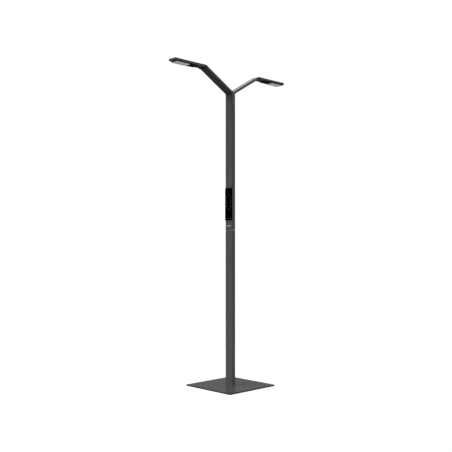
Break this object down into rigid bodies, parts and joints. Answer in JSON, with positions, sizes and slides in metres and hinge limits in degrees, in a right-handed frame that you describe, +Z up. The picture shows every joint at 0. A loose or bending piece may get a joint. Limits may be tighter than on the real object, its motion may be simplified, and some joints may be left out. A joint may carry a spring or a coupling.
{
  "type": "floor lamp",
  "caption": "Standing floor lamp: square base plate, flat column with a touch panel, and a fork with tilting flat LED heads.",
  "frame": {"origin": "centre of the base's footprint, on the floor, at the underside of the floor pads", "axes": "+Z up; -Y is the front, the broad column face with the touch panel; the front arm reaches towards -Y and the rear arm towards +Y; X runs along the hinge axes"},
  "size_m": [0.4, 0.9761, 2.0189],
  "materials": {
    "coated_steel": "steel plate with a fine-textured satin powder coat, graphite grey",
    "coated_aluminium": "extruded profile with a fine-textured satin powder coat, graphite grey",
    "coated_casting": "die-cast piece with a smooth satin powder coat, graphite grey",
    "black_plastic": "fine-grained moulded plastic, black",
    "steel": "zinc-plated or stainless steel, satin",
    "black_steel": "black oxide steel, satin",
    "bare_aluminium": "bare milled aluminium, satin",
    "badge_metal": "satin anodised aluminium plate, blank",
    "washer_bronze": "sintered bronze, satin",
    "rubber": "black rubber, matt",
    "opal": "opal microprismatic diffuser, light grey when unlit",
    "white_plastic": "white moulded plastic",
    "white_board": "white solder-masked aluminium-core board",
    "circuit_board": "green solder-masked circuit board",
    "led_phosphor": "yellow phosphor in clear resin",
    "panel_glass": "black glass, polished, opaque printed back",
    "panel_print": "faint grey screen print",
    "cable_sheath": "black cable sheath, matt",
    "driver_case": "white-grey enamelled steel case"
  },
  "bodies": {
    "stand": {"base_plate": "coated_steel", "base_pads": "rubber", "foot_block": "steel", "foot_bolts": "steel", "foot_screws": "steel", "lower_column": "coated_aluminium", "lead_gland": "black_plastic", "gland_nut": "black_plastic", "carrier_rail": "steel", "carrier_screws": "steel", "terminal_block": "white_plastic", "led_driver": "driver_case", "driver_leads": "cable_sheath", "output_harness": "cable_sheath", "column_joiner": "bare_aluminium", "joiner_screws": "steel", "seam_ring": "bare_aluminium", "upper_column": "coated_aluminium", "panel_gasket": "rubber", "panel_housing": "black_plastic", "panel_clips": "steel", "touch_board": "circuit_board", "panel_glass": "panel_glass", "panel_icons": "panel_print", "panel_lead": "cable_sheath", "blank_badge": "badge_metal", "fork_insert": "bare_aluminium", "fork_screws": "steel", "front_arm": "coated_aluminium", "rear_arm": "coated_aluminium", "arm_screws": "black_steel", "arm_cables": "cable_sheath", "front_yoke": "coated_casting", "rear_yoke": "coated_casting", "hinge_bolts": "black_steel", "hinge_nuts": "black_steel", "friction_washers": "washer_bronze"},
    "front_head": {"front_head_knuckle": "coated_casting", "front_head_shell": "coated_aluminium", "front_end_cap": "coated_casting", "front_head_screws": "black_steel", "front_light_housing": "black_plastic", "front_heat_spreader": "bare_aluminium", "front_led_board": "white_board", "front_leds": "led_phosphor", "front_reflector": "white_plastic", "front_diffuser": "opal", "front_head_lead": "cable_sheath"},
    "rear_head": {"rear_head_knuckle": "coated_casting", "rear_head_shell": "coated_aluminium", "rear_end_cap": "coated_casting", "rear_head_screws": "black_steel", "rear_light_housing": "black_plastic", "rear_heat_spreader": "bare_aluminium", "rear_led_board": "white_board", "rear_leds": "led_phosphor", "rear_reflector": "white_plastic", "rear_diffuser": "opal", "rear_head_lead": "cable_sheath"}
  },
  "joints": [
    {"name": "front_head_tilt", "type": "hinge", "parent": "stand", "child": "front_head", "pos_m": [0, -0.23855, 2.00676], "axis": [-1, 0, 0], "range_deg": [-30.6, 14.4]},
    {"name": "rear_head_tilt", "type": "hinge", "parent": "stand", "child": "rear_head", "pos_m": [0, 0.23855, 2.00676], "axis": [1, 0, 0], "range_deg": [-29.5, 15.5]}
  ]
}
